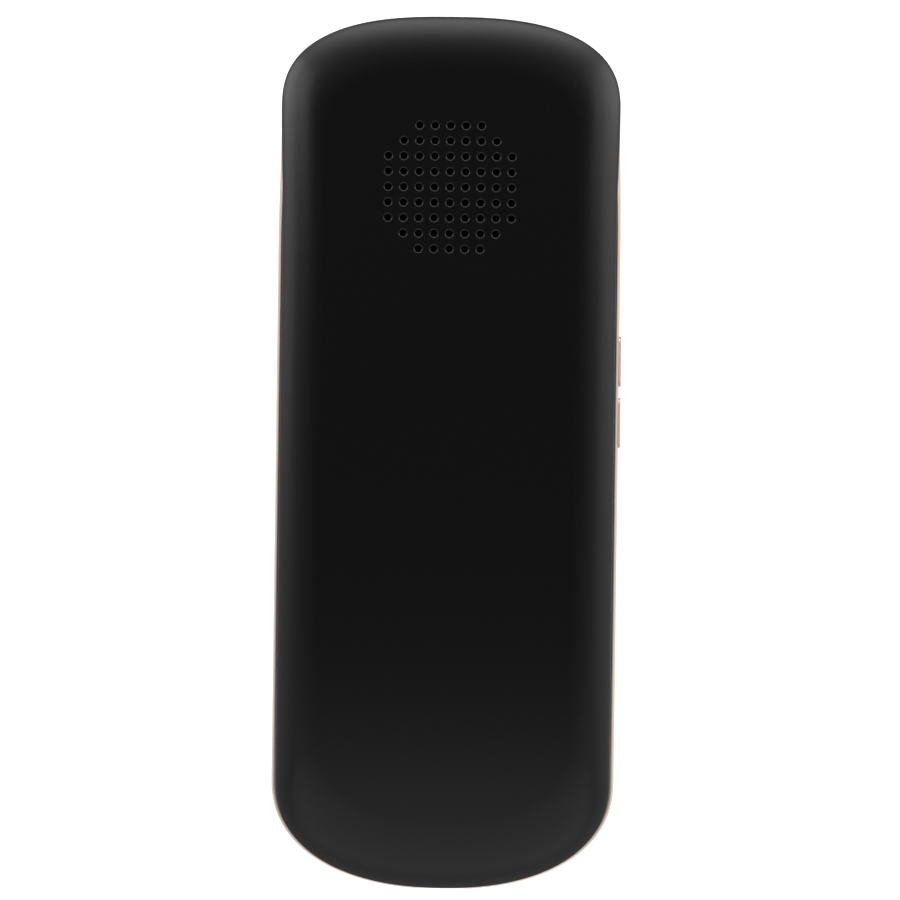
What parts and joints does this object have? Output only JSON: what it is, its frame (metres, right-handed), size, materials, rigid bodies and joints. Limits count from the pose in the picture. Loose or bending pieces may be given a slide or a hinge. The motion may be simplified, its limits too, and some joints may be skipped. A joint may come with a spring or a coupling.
{
  "type": "handheld voice translator",
  "caption": "Slim bar-shaped handheld voice translator with a metal band, rear speaker grille, two round talk keys and side volume keys.",
  "frame": {"origin": "middle of the front panel's flat face, which the device rests on when it lies face down", "axes": "+Y along the length towards the speaker end, +Z out of the back cover, +X towards the volume keys"},
  "size_m": [0.056, 0.1418, 0.011],
  "materials": {
    "rear_cover_soft_touch": "soft-touch matt black",
    "rose_gold_metal": "rose-gold anodised, fine satin",
    "front_panel_gloss": "polished gloss black",
    "moulded_black": "moulded matt black",
    "black_rubber": "matt black",
    "switch_steel": "dull stamped steel",
    "tinned_steel": "tin plated, satin",
    "circuit_board": "green solder mask, satin",
    "chip_epoxy": "moulded epoxy, matt",
    "battery_pouch": "laminated foil pouch",
    "amber_tape": "amber film",
    "white_plastic": "moulded natural white",
    "red_insulation": "satin",
    "speaker_film": "formed film, matt",
    "foam": "open cell, matt",
    "clear_plastic": "clear moulded"
  },
  "bodies": {
    "casing": {"rear_cover": "rear_cover_soft_touch", "mid_frame": "rose_gold_metal", "key_ring_upper": "rose_gold_metal", "key_ring_lower": "rose_gold_metal", "front_panel": "front_panel_gloss", "panel_adhesive": "black_rubber", "front_housing": "moulded_black", "talk_switch_upper": "switch_steel", "talk_switch_lower": "switch_steel", "power_switch": "switch_steel", "volume_up_switch": "switch_steel", "volume_down_switch": "switch_steel", "main_board": "circuit_board", "shield_can": "tinned_steel", "processor_chip": "chip_epoxy", "radio_module": "tinned_steel", "amplifier_chip": "chip_epoxy", "battery_cell": "battery_pouch", "battery_guard_board": "amber_tape", "battery_tape": "white_plastic", "battery_socket": "white_plastic", "battery_plug": "white_plastic", "battery_lead_red": "red_insulation", "battery_lead_black": "black_rubber", "speaker_frame": "moulded_black", "speaker_magnet": "tinned_steel", "speaker_gasket": "foam", "speaker_mesh": "foam", "speaker_lead_red": "red_insulation", "speaker_lead_black": "black_rubber", "microphone_capsule": "tinned_steel", "microphone_boot": "black_rubber", "usb_socket_shell": "tinned_steel", "usb_socket_tongue": "chip_epoxy", "status_led": "white_plastic", "light_pipe": "clear_plastic", "board_screw_1": "switch_steel", "board_screw_2": "switch_steel", "board_screw_3": "switch_steel", "board_screw_4": "switch_steel", "board_screw_5": "switch_steel", "board_screw_6": "switch_steel"},
    "talk_upper": {"talk_key_upper": "moulded_black", "talk_stem_upper": "moulded_black"},
    "talk_lower": {"talk_key_lower": "moulded_black", "talk_stem_lower": "moulded_black"},
    "power": {"power_key": "rose_gold_metal", "power_stem": "moulded_black"},
    "volume_up": {"volume_up_key": "rose_gold_metal", "volume_up_stem": "moulded_black"},
    "volume_down": {"volume_down_key": "rose_gold_metal", "volume_down_stem": "moulded_black"},
    "cone": {"speaker_cone": "speaker_film"}
  },
  "joints": [
    {"name": "talk_upper_press", "type": "slide", "parent": "casing", "child": "talk_upper", "axis": [0, 0, 1], "range_m": [0, 0.00035], "stiffness_N_per_m": 4000},
    {"name": "talk_lower_press", "type": "slide", "parent": "casing", "child": "talk_lower", "axis": [0, 0, 1], "range_m": [0, 0.00035], "stiffness_N_per_m": 4000},
    {"name": "power_press", "type": "slide", "parent": "casing", "child": "power", "axis": [0, 0, 1], "range_m": [0, 0.00035], "stiffness_N_per_m": 4000},
    {"name": "volume_up_press", "type": "slide", "parent": "casing", "child": "volume_up", "axis": [-1, 0, 0], "range_m": [0, 0.00025], "stiffness_N_per_m": 4500},
    {"name": "volume_down_press", "type": "slide", "parent": "casing", "child": "volume_down", "axis": [-1, 0, 0], "range_m": [0, 0.00025], "stiffness_N_per_m": 4500},
    {"name": "cone_travel", "type": "slide", "parent": "casing", "child": "cone", "axis": [0, 0, 1], "range_m": [-0.0002, 0.0002], "stiffness_N_per_m": 1200}
  ]
}
